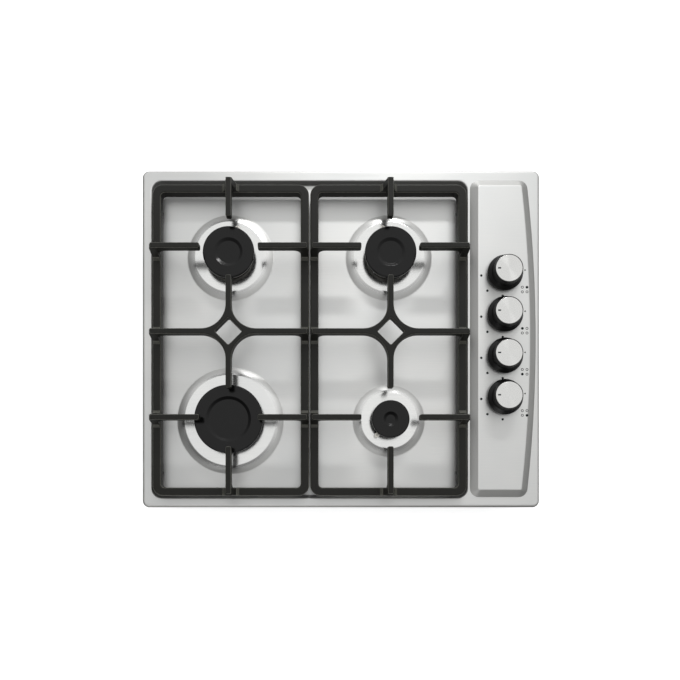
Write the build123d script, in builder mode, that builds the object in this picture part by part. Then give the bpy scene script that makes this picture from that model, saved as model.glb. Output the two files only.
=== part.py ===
from build123d import *

import os
from math import cos, radians, sin, sqrt

os.makedirs("parts", exist_ok=True)

# Built-in gas cooktop, four burners, controls on the right.
# Millimetres. X runs to the right, Y to the back, Z up. The origin is at the centre of
# the plate's outline, on the underside of the base tray.

# ---------------------------------------------------------------- driving dimensions
# Hob plate, one pressing of stainless sheet
plate_length = 590.0
plate_depth = 500.0
plate_corner_r = 10.0
sheet = 1.0
rim_height = 9.0        # rim surface above the worktop
rim_round = 4.5
hem_width = 12.0        # return flange under the edge
seal_height = 1.5
seal_width = 9.0
seal_inset = 1.5
box_depth = 45.0        # worktop surface above the underside of the tray

# Burner field
burner_outward = 3.0    # burner axes outside the middles of the pan supports
burner_from_back = 99.2     # rear burners from the supports' rear ends
burner_from_front = 111.8
cap_r_rapid = 50.0
cap_r_semi = 37.5
cap_r_aux = 27.5
dish_r_rapid = 33.0
dish_r_semi = 20.8
dish_r_aux = 10.8
well_margin_rapid = 29.5    # foot of the raised well outside the cap's edge
well_margin_semi = 26.7
well_margin_aux = 26.4
throat_r_rapid = 13.0
throat_r_semi = 9.0
throat_r_aux = 5.0
port_count_rapid = 40
port_count_semi = 30
port_count_aux = 20
well_rise = 5.0
well_run = 12.3
well_foot_round = 4.0
well_top_round = 3.0

# Recess that the pan supports stand in, and the plate's edge round it
edge_left = 14.0
edge_back = 15.5
edge_front = 13.5
recess_drop = 6.0
recess_run = 5.0
recess_corner_r = 15.0
recess_side_gap = 5.5
recess_front_gap = 4.0
recess_back_gap = 13.0
recess_mouth_round = 2.5
recess_floor_round = 3.0

# Raised control panel, its right side bowed
ridge_width = 3.0
panel_rise = 6.0
panel_run = 11.0
panel_width = 97.5
panel_edge_gap = 6.5    # foot of the panel inside the plate's right edge
panel_end_gap = 15.5
panel_bow = 13.5
panel_corner_r = 13.0
panel_top_round = 4.0

# Cast-iron pan supports
support_gap = 2.0       # between the two
support_corner_r = 15.0
window_corner_r = 6.0
bar_width = 12.0
bar_height = 13.0
bar_round = 2.2
foot_height = 6.0
foot_r = 5.0
peg_r = 2.5
peg_length = 5.0
foot_from_corner = 34.0
finger_width = 8.0
finger_depth = 10.0
finger_round = 1.8
finger_rise = 42.0      # finger tops above the recess floor
finger_tip_r = 2.2
finger_end_inset = 2.6
post_foot_width = 25.0
post_waist_width = 17.0
post_skirt_rise = 3.0
post_top_drop = 5.0
post_edge_round = 1.0
gusset_r = 10.0
star_half = 39.5        # reach of the curved webs round the centre opening
diamond_half = 19.5
lift_gap = 1.0          # a semi-rapid cap passes between the finger tips with this gap

# Burners, from the plate up
seat_rise = 2.0         # burner seat above the well
spreader_height = 10.5
cap_height = 4.0
cap_overhang = 4.0
cap_edge_round = 1.7
cap_foot_round = 0.8
dish_depth = 2.2
dish_run = 4.4
dish_round = 1.5
lip_depth = 3.0
lip_wall = 2.0
ring_wall = 5.0
spreader_floor = 3.0
port_width = 1.6
port_depth = 4.0
hole_inset = 12.0       # plate hole inside the cap's edge
loose_gap = 0.3
collar_wall = 3.0
skirt_wall = 2.0
skirt_length = 6.0
cup_flange_height = 3.0
cup_flange_margin = 7.0
cup_depth = 24.0
cup_floor = 3.0
cup_screw_inset = 4.5
arm_r = 6.0
arm_reach = 9.0
nozzle_boss_r = 6.5
nozzle_r = 5.0
nozzle_height = 6.0
nozzle_shank_r = 2.5
nozzle_shank = 4.0
orifice_r = 0.6

# Spark electrodes
spark_offset = 2.0      # electrode axis outside the cap's edge
spark_angle_rear_left = 72.0
spark_angle_rear_right = 106.0
spark_angle_front_left = 90.0
spark_angle_front_right = 230.0
insulator_r = 3.5
insulator_collar_r = 5.0
insulator_collar = 3.0
insulator_up = 10.0     # top above the underside of the well
insulator_down = 14.0
spark_pin_r = 1.2
spark_pin_up = 2.5
spark_pin_down = 6.0
spark_tip_r = 0.9
spark_tip_length = 4.0

# Controls
knob_pitch = 60.5
knob_mid_y = 2.9
knob_inward = 0.45      # knob line left of the panel's middle
knob_r = 25.9
knob_shoulder_r = 20.9
knob_top_r = 20.0
knob_height = 16.0
knob_foot_height = 1.5
knob_shoulder_height = 5.5
knob_gap = 4.5
knob_wall = 2.4
knob_bore_depth = 11.0
hub_r = 7.5
hub_recess = 3.0
disc_r = 19.2
disc_height = 1.2
disc_round = 0.5
pointer_r = 14.0
pointer_length = 4.4
pointer_width = 2.2
pointer_depth = 0.4
spindle_r = 4.0
spindle_flat = 2.8
spindle_hole_gap = 1.5
fit_gap = 0.05
grommet_r = 8.0
grommet_height = 2.0

# Gas taps and pipework
tap_side = 26.0
bonnet_length = 40.0
bonnet_height = 10.0
plug_r = 8.0
plug_length = 17.0
plug_passage_r = 1.8
plug_passage_rise = 2.5
socket_length = 12.0
spring_length = 7.0
spring_wall = 1.0
tap_floor = 4.0
outlet_r = 5.5
outlet_length = 10.0
tube_r = 3.0
tube_wall = 0.8
tube_seat = 7.0
tube_inserted = 6.0
tube_bend_r = 18.0
tube_straight = 35.0
tube_slant = 40.0
rail_r = 8.0
rail_wall = 1.5
rail_overrun = 26.0
union_across = 27.0
union_length = 4.0
inlet_r = 10.48
inlet_length = 16.0
inlet_chamfer = 1.0
bonnet_screw_x = 13.0

# Base tray
tray_side_inset = 30.0  # tray walls inside the plate's outline
tray_end_inset = 34.0
tray_sheet = 0.8
tray_drop = 3.0         # flange surface below the worktop
tray_flange = 8.0
tray_bend_r = 1.0
boss_r = 3.5
boss_side_y = 150.0
boss_panel_y = 60.0
boss_row_x = 150.0
ear_width = 18.0
ear_z = 12.0
ear_sheet = 1.5
ear_reach = 22.0
ear_foot = 10.0
clamp_x = 185.0
clamp_offset = 13.0     # clamp axis outside the tray wall
clamp_length = 40.0
clamp_width = 16.0
clamp_sheet = 2.4
clamp_lip = 3.0
clamp_gap = 0.1

# Screws
screw_r = 1.6
head_r = 3.2
head_height = 1.6
screw_gap = 0.1
clamp_screw_r = 2.0
clamp_head_r = 4.0
clamp_head_height = 2.9
clamp_screw_length = 11.0

# Ignition and mains
module_length = 60.0
module_depth = 80.0
module_height = 24.0
module_round = 3.0
lead_r = 1.5
lead_gap = 0.1
lead_bend_r = 8.0
lead_run_in = 20.0
lead_port_y = 25.0
switch_length = 14.0
switch_height = 8.0
switch_depth = 7.0
strip_sheet = 2.0
strip_overrun = 14.0
switch_drop = 12.0
gland_x = 120.0
gland_r = 9.0
gland_reach = 14.0
gland_bore_r = 4.0
gland_neck_r = 7.0
block_length = 40.0
block_depth = 22.0
block_height = 20.0
block_round = 2.0

# ---------------------------------------------------------------- derived heights
worktop_z = box_depth
hem_z = worktop_z + seal_height
rim_z = worktop_z + rim_height
floor_z = rim_z - recess_drop
well_z = floor_z + well_rise
panel_z = rim_z + panel_rise
panel_under = panel_z - sheet
well_under = well_z - sheet
seat_z = well_z + seat_rise
cap_z = seat_z + spreader_height
cap_top = cap_z + cap_height
bar_z = floor_z + foot_height
bar_top = bar_z + bar_height
finger_top = floor_z + finger_rise
finger_z = finger_top - finger_depth
flange_top = worktop_z - tray_drop
cup_flange_z = well_under - cup_flange_height
cup_z = well_under - cup_depth
tap_top = panel_under
bonnet_z = tap_top - bonnet_height
plug_top = bonnet_z
plug_z = plug_top - plug_length
tap_z = plug_z - tap_floor
outlet_z = plug_z + plug_passage_rise
rail_z = tap_z - rail_r
spring_z = plug_top - socket_length
spindle_z = spring_z + spring_length
knob_z = panel_z + knob_gap
knob_top = knob_z + knob_height
hub_z = knob_z + hub_recess
spindle_top = hub_z + knob_bore_depth - fit_gap

# ---------------------------------------------------------------- derived places
panel_right = plate_length / 2 - panel_edge_gap
panel_left = panel_right - panel_width
panel_depth = plate_depth - 2 * panel_end_gap
recess_left = edge_left - plate_length / 2
recess_length = panel_left - ridge_width - recess_left
recess_depth = plate_depth - edge_front - edge_back
recess_mid_y = (edge_front - edge_back) / 2
field_x = recess_left + recess_length / 2     # midway between the two pan supports
support_width = (recess_length - support_gap) / 2 - recess_side_gap
support_pitch = support_width + support_gap
support_length = recess_depth - recess_front_gap - recess_back_gap
support_mid_y = recess_mid_y - (recess_back_gap - recess_front_gap) / 2
support_x = {
    "left": field_x - support_pitch / 2,
    "right": field_x + support_pitch / 2,
}
burner_pitch_x = support_pitch + 2 * burner_outward
burner_pitch_y = support_length - burner_from_back - burner_from_front
burner_mid_y = support_mid_y + (burner_from_front - burner_from_back) / 2
tip_r = cap_r_semi + burner_outward + lift_gap
row_y = [burner_mid_y + row * burner_pitch_y / 2 for row in (-1, 0, 1)]
knob_x = (panel_left + panel_right) / 2 - knob_inward
knob_y = {
    "rear_right": knob_mid_y + 1.5 * knob_pitch,
    "rear_left": knob_mid_y + 0.5 * knob_pitch,
    "front_left": knob_mid_y - 0.5 * knob_pitch,
    "front_right": knob_mid_y - 1.5 * knob_pitch,
}
tray_wall_x = plate_length / 2 - tray_side_inset
tray_wall_y = plate_depth / 2 - tray_end_inset
boss_x = tray_wall_x + tray_flange / 2
boss_y = tray_wall_y + tray_flange / 2
module_right = field_x + module_length / 2
module_left = field_x - module_length / 2


# One burner's own sizes and places
def burner(column, row, cap_r, dish_r, well_margin, throat_r, ports, spark_angle):
    x = field_x + column * burner_pitch_x / 2
    y = burner_mid_y + row * burner_pitch_y / 2
    spark_reach = cap_r + spark_offset
    hole_r = cap_r - hole_inset
    screw_offset = (hole_r + cup_screw_inset) / sqrt(2)
    return {
        "x": x,
        "y": y,
        "cap_r": cap_r,
        "dish_r": dish_r,
        "well_r": cap_r + well_margin,
        "throat_r": throat_r,
        "ports": ports,
        "hole_r": hole_r,
        "collar_r": hole_r - loose_gap,
        "skirt_r": hole_r - 2 * loose_gap - collar_wall,
        "spreader_r": cap_r - cap_overhang,
        "flange_r": spark_reach + cup_flange_margin,
        "bowl_r": hole_r - 2 * loose_gap,
        "screws": [(x - screw_offset, y - screw_offset), (x + screw_offset, y + screw_offset)],
        "spark_angle": spark_angle,
        "spark_x": x + spark_reach * cos(radians(spark_angle)),
        "spark_y": y + spark_reach * sin(radians(spark_angle)),
    }


burners = {
    "rear_left": burner(-1, 1, cap_r_semi, dish_r_semi, well_margin_semi, throat_r_semi,
                        port_count_semi, spark_angle_rear_left),
    "rear_right": burner(1, 1, cap_r_semi, dish_r_semi, well_margin_semi, throat_r_semi,
                         port_count_semi, spark_angle_rear_right),
    "front_left": burner(-1, -1, cap_r_rapid, dish_r_rapid, well_margin_rapid, throat_r_rapid,
                         port_count_rapid, spark_angle_front_left),
    "front_right": burner(1, -1, cap_r_aux, dish_r_aux, well_margin_aux, throat_r_aux,
                          port_count_aux, spark_angle_front_right),
}
bosses_low = [
    (-boss_x, -boss_side_y),
    (-boss_x, boss_side_y),
    (field_x - boss_row_x, -boss_y),
    (field_x - boss_row_x, boss_y),
    (field_x + boss_row_x, -boss_y),
    (field_x + boss_row_x, boss_y),
]
bosses_high = [(boss_x, -boss_panel_y), (boss_x, boss_panel_y)]
cup_screws = [spot for b in burners.values() for spot in b["screws"]]
tap_screws = [
    (knob_x + side * bonnet_screw_x, y)
    for y in knob_y.values()
    for side in (-1, 1)
]
clamps = {
    "rear_left": (-clamp_x, tray_wall_y + clamp_offset),
    "rear_right": (clamp_x, tray_wall_y + clamp_offset),
    "front_left": (-clamp_x, -tray_wall_y - clamp_offset),
    "front_right": (clamp_x, -tray_wall_y - clamp_offset),
}


def upright(x, y):
    # Plane through a vertical axis: its first direction is +X, its second is +Z.
    return Plane(origin=(x, y, 0), x_dir=(1, 0, 0), z_dir=(0, -1, 0))


def axis_at(x, y):
    return Axis((x, y, 0), (0, 0, 1))


def save(part, name):
    part.label = name
    export_step(part, f"parts/{name}.step")


# ---------------------------------------------------------------- hob plate
def panel_outline(inward):
    # Foot line of the control panel, or the same line moved inward.
    half = panel_depth / 2
    with BuildSketch() as outline:
        with BuildLine():
            Polyline((panel_right - panel_bow, half), (panel_left, half),
                     (panel_left, -half), (panel_right - panel_bow, -half))
            ThreePointArc((panel_right - panel_bow, -half), (panel_right, 0),
                          (panel_right - panel_bow, half))
        make_face()
        fillet(outline.vertices(), panel_corner_r)
        if inward > 0:
            offset(amount=-inward, mode=Mode.REPLACE)
    return outline.sketch


def press_form(inset):
    # Solid under the pressed surface: inset 0 is the outside, inset = sheet the inside.
    top = rim_z - inset
    low = floor_z - inset
    with BuildPart() as form:
        with BuildSketch(Plane.XY.offset(hem_z + inset)):
            RectangleRounded(plate_length - 2 * inset, plate_depth - 2 * inset,
                             plate_corner_r - inset)
        extrude(amount=top - hem_z - inset)
        fillet(form.faces().sort_by(Axis.Z)[-1].edges(), rim_round - inset)
        if inset > 0:
            with BuildSketch(Plane.XY.offset(hem_z)):
                RectangleRounded(plate_length - 2 * hem_width, plate_depth - 2 * hem_width,
                                 plate_corner_r)
            extrude(amount=inset)

        with BuildSketch(Plane.XY.offset(top)):
            with Locations((field_x, recess_mid_y)):
                RectangleRounded(recess_length + 2 * inset, recess_depth + 2 * inset,
                                 recess_corner_r + inset)
        with BuildSketch(Plane.XY.offset(low)):
            with Locations((field_x, recess_mid_y)):
                RectangleRounded(recess_length - 2 * recess_run + 2 * inset,
                                 recess_depth - 2 * recess_run + 2 * inset,
                                 recess_corner_r - recess_run + inset)
        loft(ruled=True, mode=Mode.SUBTRACT)
        if inset == 0:
            pocket = form.edges(Select.LAST)
            fillet(pocket.group_by(Axis.Z)[-1], recess_mouth_round)
            floor = form.faces().filter_by(Plane.XY).filter_by(
                lambda f: abs(f.center().Z - low) < sheet / 10)
            fillet(floor.edges(), recess_floor_round)

        for b in burners.values():
            with Locations((b["x"], b["y"], low)):
                Cone(b["well_r"] - inset, b["well_r"] - well_run - inset, well_rise,
                     align=(Align.CENTER, Align.CENTER, Align.MIN))
            if inset == 0:
                rings = form.edges(Select.LAST).filter_by(GeomType.CIRCLE)
                fillet(rings.group_by(Axis.Z)[-1], well_top_round)
                foot = form.edges().filter_by(GeomType.CIRCLE).filter_by(
                    lambda e: abs(e.radius - b["well_r"]) < sheet / 10
                    and abs(e.center().Z - low) < sheet / 10)
                fillet(foot, well_foot_round)

        foot_face = Plane.XY.offset(top) * panel_outline(inset)
        top_face = Plane.XY.offset(top + panel_rise) * panel_outline(panel_run + inset)
        loft([foot_face.face(), top_face.face()], ruled=True)
        if inset == 0:
            rise = form.edges(Select.LAST)
            fillet(rise.group_by(Axis.Z)[-1], panel_top_round)
    return form.part


plate_outside = press_form(0)
plate_inside = press_form(sheet)

with BuildPart() as hob_plate:
    add(plate_outside)
    add(plate_inside, mode=Mode.SUBTRACT)
    for b in burners.values():
        with Locations((b["x"], b["y"], well_under)):
            Cylinder(b["hole_r"], 3 * sheet, mode=Mode.SUBTRACT)
        with Locations((b["spark_x"], b["spark_y"], well_under)):
            Cylinder(insulator_r + loose_gap, 3 * sheet, mode=Mode.SUBTRACT)
    with Locations(*[(x, y, well_under) for x, y in cup_screws]):
        Cylinder(screw_r + screw_gap, 3 * sheet, mode=Mode.SUBTRACT)
    with Locations(*[(knob_x, y, panel_under) for y in knob_y.values()]):
        Cylinder(spindle_r + spindle_hole_gap, 3 * sheet, mode=Mode.SUBTRACT)
    with Locations(*[(x, y, panel_under) for x, y in tap_screws]):
        Cylinder(screw_r + screw_gap, 3 * sheet, mode=Mode.SUBTRACT)
    with BuildSketch(Plane.XY.offset(flange_top)):
        with Locations(*bosses_low):
            Circle(boss_r)
            Circle(screw_r + screw_gap, mode=Mode.SUBTRACT)
    extrude(amount=floor_z - sheet - flange_top)
    with BuildSketch(Plane.XY.offset(flange_top)):
        with Locations(*bosses_high):
            Circle(boss_r)
            Circle(screw_r + screw_gap, mode=Mode.SUBTRACT)
    extrude(amount=panel_under - flange_top)
save(hob_plate.part, "hob_plate")

# Foam strip under the edge
with BuildPart() as rim_seal:
    with BuildSketch(Plane.XY.offset(worktop_z)):
        RectangleRounded(plate_length - 2 * seal_inset, plate_depth - 2 * seal_inset,
                         plate_corner_r - seal_inset)
        RectangleRounded(plate_length - 2 * (seal_inset + seal_width),
                         plate_depth - 2 * (seal_inset + seal_width),
                         plate_corner_r - seal_inset, mode=Mode.SUBTRACT)
    extrude(amount=seal_height)
save(rim_seal.part, "rim_seal")


# ---------------------------------------------------------------- pan supports
half_foot = post_foot_width / 2
half_waist = post_waist_width / 2
half_finger = finger_width / 2
flare_top = finger_top - post_top_drop

# One post, its outer face at x = 0 and its finger running to +X. Seen along the finger it
# has a wide foot, a short skirt and two straight flanks.
with BuildPart() as post:
    flare_plane = Plane(origin=(finger_end_inset / 4, 0, 0), x_dir=(0, 1, 0), z_dir=(1, 0, 0))
    with BuildSketch(flare_plane) as flare:
        with BuildLine():
            Polyline((-half_foot, bar_top - bar_round / 2), (half_foot, bar_top - bar_round / 2),
                     (half_foot, bar_top), (half_waist, bar_top + post_skirt_rise),
                     (half_finger, flare_top), (-half_finger, flare_top),
                     (-half_waist, bar_top + post_skirt_rise), (-half_foot, bar_top),
                     close=True)
        make_face()
        fillet(flare.vertices().filter_by(lambda v: abs(abs(v.X) - half_waist) < fit_gap),
               post_skirt_rise)
    extrude(amount=bar_width - finger_end_inset / 2)
    fillet(post.faces().filter_by(Axis.X).edges().filter_by(
        lambda e: bar_top < e.center().Z < flare_top - fit_gap), post_edge_round)
    web_plane = Plane(origin=(0, half_finger, 0), x_dir=(1, 0, 0), z_dir=(0, -1, 0))
    with BuildSketch(web_plane):
        with BuildLine():
            Polyline((bar_width, finger_z - gusset_r), (bar_width, bar_top - bar_round),
                     (finger_end_inset / 4, bar_top - bar_round),
                     (finger_end_inset / 4, bar_top), (finger_end_inset, flare_top),
                     (finger_end_inset, finger_top - finger_round),
                     (bar_width + gusset_r, finger_top - finger_round),
                     (bar_width + gusset_r, finger_z))
            RadiusArc((bar_width + gusset_r, finger_z), (bar_width, finger_z - gusset_r),
                      -gusset_r)
        make_face()
    extrude(amount=finger_width)


def finger_web(x):
    # Plan of every finger of one pan support.
    half_x = support_width / 2 - finger_end_inset
    back = support_mid_y + support_length / 2 - finger_end_inset
    front = support_mid_y - support_length / 2 + finger_end_inset
    side_length = half_x - tip_r
    middle = (half_x + tip_r) / 2
    front_row, mid_row, back_row = row_y
    arm = (back_row - front_row) - 2 * tip_r
    with BuildSketch() as web:
        with Locations((x, mid_row)):
            Rectangle(2 * star_half, 2 * star_half)
            with GridLocations(2 * star_half, 2 * star_half, 2, 2):
                Circle(star_half - finger_width / 2, mode=Mode.SUBTRACT)
            RectangleRounded(2 * half_x, finger_width, finger_tip_r)
            RectangleRounded(finger_width, arm, finger_tip_r)
            RectangleRounded(diamond_half * sqrt(2), diamond_half * sqrt(2), finger_tip_r,
                             rotation=45, mode=Mode.SUBTRACT)
        for y in (front_row, back_row):
            with Locations((x - middle, y), (x + middle, y)):
                RectangleRounded(side_length, finger_width, finger_tip_r)
        with Locations((x, (back + back_row + tip_r) / 2)):
            RectangleRounded(finger_width, back - back_row - tip_r, finger_tip_r)
        with Locations((x, (front + front_row - tip_r) / 2)):
            RectangleRounded(finger_width, front_row - tip_r - front, finger_tip_r)
    return web.sketch


def pan_support(x):
    back = support_mid_y + support_length / 2
    front = support_mid_y - support_length / 2
    web = Plane.XY.offset(finger_z) * finger_web(x)
    foot_spots = [
        (x + across * (support_width - bar_width) / 2,
         support_mid_y + along * (support_length / 2 - foot_from_corner))
        for across in (-1, 1)
        for along in (-1, 1)
    ]
    with BuildPart() as support:
        with BuildSketch(Plane.XY.offset(bar_z)):
            with Locations((x, support_mid_y)):
                RectangleRounded(support_width, support_length, support_corner_r)
                RectangleRounded(support_width - 2 * bar_width,
                                 support_length - 2 * bar_width,
                                 window_corner_r, mode=Mode.SUBTRACT)
        extrude(amount=bar_height)
        fillet(support.faces().sort_by(Axis.Z)[-1].edges(), bar_round)
        fillet(support.faces().sort_by(Axis.Z)[0].edges(), bar_round / 2)
        extrude(web, amount=finger_depth)
        fillet(support.faces().group_by(Axis.Z)[-1].edges(), finger_round)
        for y in row_y:
            with Locations(Location((x - support_width / 2, y, 0)),
                           Location((x + support_width / 2, y, 0), (0, 0, 180))):
                add(post.part)
        with Locations(Location((x, back, 0), (0, 0, -90)),
                       Location((x, front, 0), (0, 0, 90))):
            add(post.part)
        with Locations(*[(spot_x, spot_y, bar_z) for spot_x, spot_y in foot_spots]):
            Cylinder(peg_r + fit_gap, 2 * (peg_length + fit_gap), mode=Mode.SUBTRACT)
    with BuildPart() as feet:
        with Locations(*[(spot_x, spot_y, floor_z) for spot_x, spot_y in foot_spots]):
            Cylinder(foot_r, foot_height, align=(Align.CENTER, Align.CENTER, Align.MIN))
            Cylinder(peg_r, foot_height + peg_length,
                     align=(Align.CENTER, Align.CENTER, Align.MIN))
    return support.part, feet.part


for side, x in support_x.items():
    iron, rubber = pan_support(x)
    save(iron, f"pan_support_{side}")
    save(rubber, f"support_feet_{side}")


# ---------------------------------------------------------------- burners
def burner_cap(b):
    lip_r = b["spreader_r"] - ring_wall - loose_gap
    dish_z = cap_top - dish_depth
    with BuildPart() as cap:
        with BuildSketch(upright(b["x"], b["y"])):
            with BuildLine():
                Polyline((0, cap_z), (lip_r - lip_wall, cap_z),
                         (lip_r - lip_wall, cap_z - lip_depth), (lip_r, cap_z - lip_depth),
                         (lip_r, cap_z), (b["cap_r"], cap_z), (b["cap_r"], cap_top),
                         (b["dish_r"], cap_top), (b["dish_r"] - dish_run, dish_z),
                         (0, dish_z), close=True)
            make_face()
        revolve(axis=axis_at(b["x"], b["y"]))
        rings = cap.edges().filter_by(GeomType.CIRCLE)
        fillet(rings.filter_by(lambda e: e.radius > b["cap_r"] - fit_gap
                               and e.center().Z > cap_top - fit_gap), cap_edge_round)
        rings = cap.edges().filter_by(GeomType.CIRCLE)
        fillet(rings.filter_by(lambda e: e.radius > b["cap_r"] - fit_gap
                               and e.center().Z < cap_z + fit_gap), cap_foot_round)
        rings = cap.edges().filter_by(GeomType.CIRCLE)
        fillet(rings.filter_by(lambda e: e.radius < b["dish_r"] + fit_gap
                               and e.center().Z > dish_z - fit_gap), dish_round)
    return cap.part


def flame_spreader(b):
    ring_inner = b["spreader_r"] - ring_wall
    skirt_inner = b["skirt_r"] - skirt_wall
    floor_top = seat_z + spreader_floor
    with BuildPart() as spreader:
        with BuildSketch(upright(b["x"], b["y"])):
            with BuildLine():
                Polyline((b["throat_r"], seat_z), (skirt_inner, seat_z),
                         (skirt_inner, seat_z - skirt_length),
                         (b["skirt_r"], seat_z - skirt_length), (b["skirt_r"], seat_z),
                         (b["spreader_r"], seat_z), (b["spreader_r"], cap_z),
                         (ring_inner, cap_z), (ring_inner, floor_top),
                         (b["throat_r"], floor_top), close=True)
            make_face()
        revolve(axis=axis_at(b["x"], b["y"]))
        with Locations((b["x"], b["y"], cap_z - port_depth / 2)):
            with PolarLocations(b["spreader_r"] - ring_wall / 2, b["ports"]):
                Box(2 * ring_wall, port_width, port_depth, mode=Mode.SUBTRACT)
    return spreader.part


def burner_cup(b):
    # Cast cup under the plate: collar through the plate, bowl, and the gas arm to +X.
    inner_r = b["collar_r"] - collar_wall
    arm_end = b["x"] + b["bowl_r"] + arm_reach
    arm_plane = Plane(origin=(b["x"], b["y"], outlet_z), x_dir=(0, 1, 0), z_dir=(1, 0, 0))
    with BuildPart() as cup:
        with BuildSketch(upright(b["x"], b["y"])):
            with BuildLine():
                Polyline((0, cup_z), (b["bowl_r"], cup_z), (b["bowl_r"], cup_flange_z),
                         (b["flange_r"], cup_flange_z), (b["flange_r"], well_under),
                         (b["collar_r"], well_under), (b["collar_r"], seat_z),
                         (inner_r, seat_z), (inner_r, cup_z + cup_floor),
                         (0, cup_z + cup_floor), close=True)
            make_face()
        revolve(axis=axis_at(b["x"], b["y"]))
        with Locations((b["x"], b["y"], cup_z)):
            Cylinder(nozzle_boss_r, outlet_z + arm_r - cup_z,
                     align=(Align.CENTER, Align.CENTER, Align.MIN))
        with BuildSketch(arm_plane):
            Circle(arm_r)
        extrude(amount=arm_end - b["x"])
        with BuildSketch(arm_plane):
            Circle(tube_r - tube_wall)
        extrude(amount=arm_end - b["x"], mode=Mode.SUBTRACT)
        with BuildSketch(arm_plane.offset(arm_end - b["x"] - tube_seat)):
            Circle(tube_r + fit_gap)
        extrude(amount=tube_seat, mode=Mode.SUBTRACT)
        with Locations((b["x"], b["y"], outlet_z)):
            Cylinder(nozzle_shank_r + fit_gap, 2 * arm_r,
                     align=(Align.CENTER, Align.CENTER, Align.MIN), mode=Mode.SUBTRACT)
        with Locations((b["spark_x"], b["spark_y"], cup_flange_z)):
            Cylinder(insulator_r + fit_gap, 3 * cup_flange_height, mode=Mode.SUBTRACT)
        with Locations(*[(x, y, cup_flange_z) for x, y in b["screws"]]):
            Cylinder(screw_r + screw_gap, 3 * cup_flange_height, mode=Mode.SUBTRACT)
    return cup.part


for name, b in burners.items():
    save(burner_cap(b), f"burner_cap_{name}")
    save(flame_spreader(b), f"flame_spreader_{name}")
    save(burner_cup(b), f"burner_cup_{name}")

# Brass injectors, one standing on each cup's boss
with BuildPart() as injectors:
    for b in burners.values():
        nozzle_z = outlet_z + arm_r
        with BuildSketch(Plane.XY.offset(nozzle_z)):
            with Locations((b["x"], b["y"])):
                RegularPolygon(nozzle_r, 6)
        extrude(amount=nozzle_height)
        with Locations((b["x"], b["y"], nozzle_z)):
            Cylinder(nozzle_shank_r, nozzle_shank,
                     align=(Align.CENTER, Align.CENTER, Align.MAX))
            Cylinder(orifice_r, 3 * nozzle_height, mode=Mode.SUBTRACT)
save(injectors.part, "injectors")

# Spark electrodes: ceramic bodies held in the cup flanges, steel pins through them
insulator_z = well_under - insulator_down
insulator_top = well_under + insulator_up
with BuildPart() as electrode_insulators:
    for b in burners.values():
        with Locations((b["spark_x"], b["spark_y"], insulator_z)):
            Cylinder(insulator_r, insulator_top - insulator_z,
                     align=(Align.CENTER, Align.CENTER, Align.MIN))
        with Locations((b["spark_x"], b["spark_y"], cup_flange_z)):
            Cylinder(insulator_collar_r, insulator_collar,
                     align=(Align.CENTER, Align.CENTER, Align.MAX))
        with Locations((b["spark_x"], b["spark_y"], insulator_z)):
            Cylinder(spark_pin_r + fit_gap, 2 * (insulator_top - insulator_z),
                     mode=Mode.SUBTRACT)
save(electrode_insulators.part, "electrode_insulators")

pin_z = insulator_z - spark_pin_down
pin_top = insulator_top + spark_pin_up
with BuildPart() as electrode_pins:
    for b in burners.values():
        with Locations((b["spark_x"], b["spark_y"], pin_z)):
            Cylinder(spark_pin_r, pin_top - pin_z,
                     align=(Align.CENTER, Align.CENTER, Align.MIN))
        inward = Vector(-cos(radians(b["spark_angle"])), -sin(radians(b["spark_angle"])), 0)
        with BuildSketch(Plane(origin=(b["spark_x"], b["spark_y"], pin_top - spark_pin_r),
                               z_dir=inward)):
            Circle(spark_tip_r)
        extrude(amount=spark_tip_length)
save(electrode_pins.part, "electrode_pins")


# ---------------------------------------------------------------- controls
def d_section(gap):
    # Round spindle with one flat, grown by a gap.
    r = spindle_r + gap
    with BuildSketch() as section:
        Circle(r)
        with Locations((spindle_flat + gap, 0)):
            Rectangle(2 * r, 2 * r, align=(Align.MIN, Align.CENTER), mode=Mode.SUBTRACT)
    return section.sketch


def control_knob(y):
    hollow_r = knob_top_r - knob_wall
    ceiling = knob_top - knob_wall
    seat = Plane.XY.offset(hub_z) * Pos(knob_x, y) * d_section(fit_gap)
    with BuildPart() as knob:
        with BuildSketch(upright(knob_x, y)):
            with BuildLine():
                Polyline((0, knob_z), (knob_r, knob_z), (knob_r, knob_z + knob_foot_height),
                         (knob_shoulder_r, knob_z + knob_shoulder_height),
                         (knob_top_r, knob_top), (0, knob_top), close=True)
            make_face()
        revolve(axis=axis_at(knob_x, y))
        fillet(knob.edges().filter_by(GeomType.CIRCLE).filter_by(
            lambda e: abs(e.center().Z - knob_z - knob_foot_height) < fit_gap), disc_round)
        fillet(knob.edges().filter_by(GeomType.CIRCLE).filter_by(
            lambda e: abs(e.center().Z - knob_z - knob_shoulder_height) < fit_gap), 2 * disc_round)
        with Locations((knob_x, y, knob_z)):
            Cylinder(hollow_r, ceiling - knob_z,
                     align=(Align.CENTER, Align.CENTER, Align.MIN), mode=Mode.SUBTRACT)
        with Locations((knob_x, y, hub_z)):
            Cylinder(hub_r, ceiling - hub_z, align=(Align.CENTER, Align.CENTER, Align.MIN))
        extrude(seat, amount=knob_bore_depth, mode=Mode.SUBTRACT)
        with Locations((knob_x, y, knob_top)):
            Cylinder(disc_r + fit_gap, disc_height,
                     align=(Align.CENTER, Align.CENTER, Align.MAX), mode=Mode.SUBTRACT)
    return knob.part


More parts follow.
